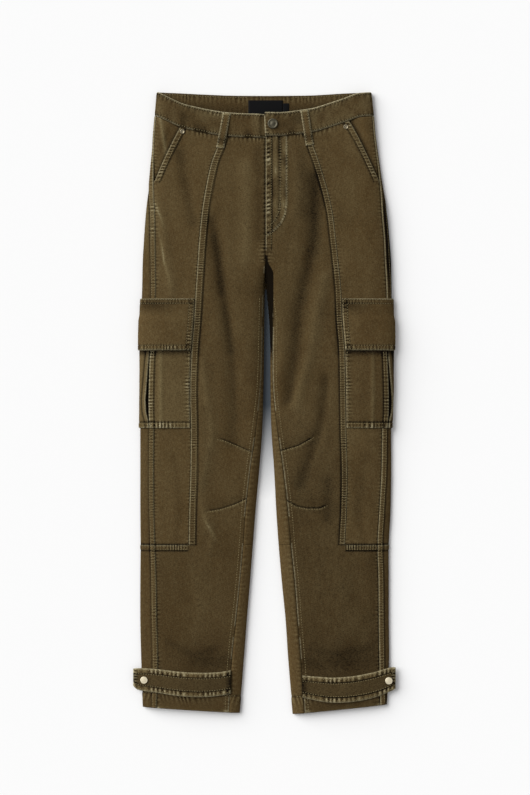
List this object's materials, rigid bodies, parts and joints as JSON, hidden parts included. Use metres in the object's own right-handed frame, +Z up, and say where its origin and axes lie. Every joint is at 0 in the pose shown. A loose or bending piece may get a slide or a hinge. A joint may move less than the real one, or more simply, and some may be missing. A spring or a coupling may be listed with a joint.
{
  "type": "cargo pants",
  "caption": "Straight cargo pants laid flat: waistband with button and belt loops, princess-seamed fronts, flap pockets on the thighs, snap tabs at the ankles.",
  "frame": {"origin": "centre of the footprint on the surface that the garment lies on", "axes": "+Y towards the waist, +Z up through the front side, -X the wearer's right leg"},
  "size_m": [0.432, 1.0241, 0.0231],
  "materials": {
    "twill": "washed olive-brown cotton twill, worn lighter along seams",
    "label": "black woven damask, bare",
    "button": "dull pewter cast tack button",
    "snap": "pale nickel domed caps and rivets"
  },
  "bodies": {
    "root": {"waistband_back": "twill", "waistband_front_right": "twill", "waistband_front_left": "twill", "belt_loop_front_right": "twill", "belt_loop_front_left": "twill", "belt_loop_back_centre": "twill", "belt_loop_back_right": "twill", "belt_loop_back_left": "twill", "front_centre_right": "twill", "front_side_right": "twill", "hip_pocket_facing_right": "twill", "back_upper_right": "twill", "back_lower_right": "twill", "cargo_pocket_front_right": "twill", "cargo_pocket_back_right": "twill", "cargo_flap_right": "twill", "ankle_tab_right": "twill", "front_centre_left": "twill", "front_side_left": "twill", "hip_pocket_facing_left": "twill", "back_upper_left": "twill", "back_lower_left": "twill", "cargo_pocket_front_left": "twill", "cargo_pocket_back_left": "twill", "cargo_flap_left": "twill", "ankle_tab_left": "twill", "waist_label": "label", "size_tab": "label", "waist_button": "button", "snap_cap_right": "snap", "snap_cap_left": "snap", "rivet_right": "snap", "rivet_left": "snap"}
  },
  "joints": []
}
